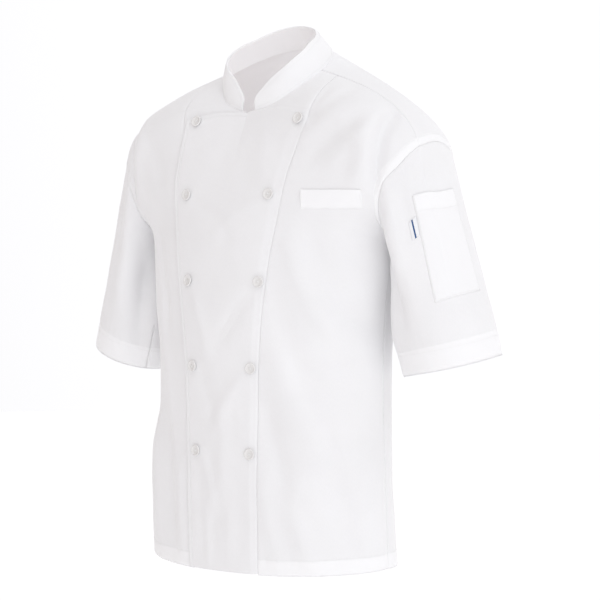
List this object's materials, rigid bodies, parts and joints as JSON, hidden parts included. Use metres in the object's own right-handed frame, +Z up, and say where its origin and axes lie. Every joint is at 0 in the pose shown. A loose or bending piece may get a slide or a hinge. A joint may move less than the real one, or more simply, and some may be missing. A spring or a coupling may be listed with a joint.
{
  "type": "chef jacket",
  "caption": "Short-sleeved double-breasted chef jacket in plain white cloth with a stand collar, a chest pocket and a sleeve pocket, shaped as worn and hollow.",
  "frame": {"origin": "middle of the neck, level with the high points of the shoulders at the collar, inside the open neck", "axes": "+Z up towards the collar, +X towards the wearer's left, -Y towards the wearer's front"},
  "size_m": [0.7294, 0.2665, 0.8169],
  "materials": {
    "cloth": "plain white twill",
    "label_ribbon": "smooth pale ribbon",
    "button_plastic": "satin white plastic"
  },
  "bodies": {
    "root": {"back": "cloth", "front_left": "cloth", "front_right": "cloth", "bib_left": "cloth", "bib_right": "cloth", "sleeve_left": "cloth", "sleeve_right": "cloth", "collar": "cloth", "chest_pocket_welt": "cloth", "sleeve_pocket": "cloth", "label_tab": "label_ribbon", "button_left_1": "button_plastic", "button_right_1": "button_plastic", "button_left_2": "button_plastic", "button_right_2": "button_plastic", "button_left_3": "button_plastic", "button_right_3": "button_plastic", "button_left_4": "button_plastic", "button_right_4": "button_plastic", "button_left_5": "button_plastic", "button_right_5": "button_plastic"}
  },
  "joints": []
}
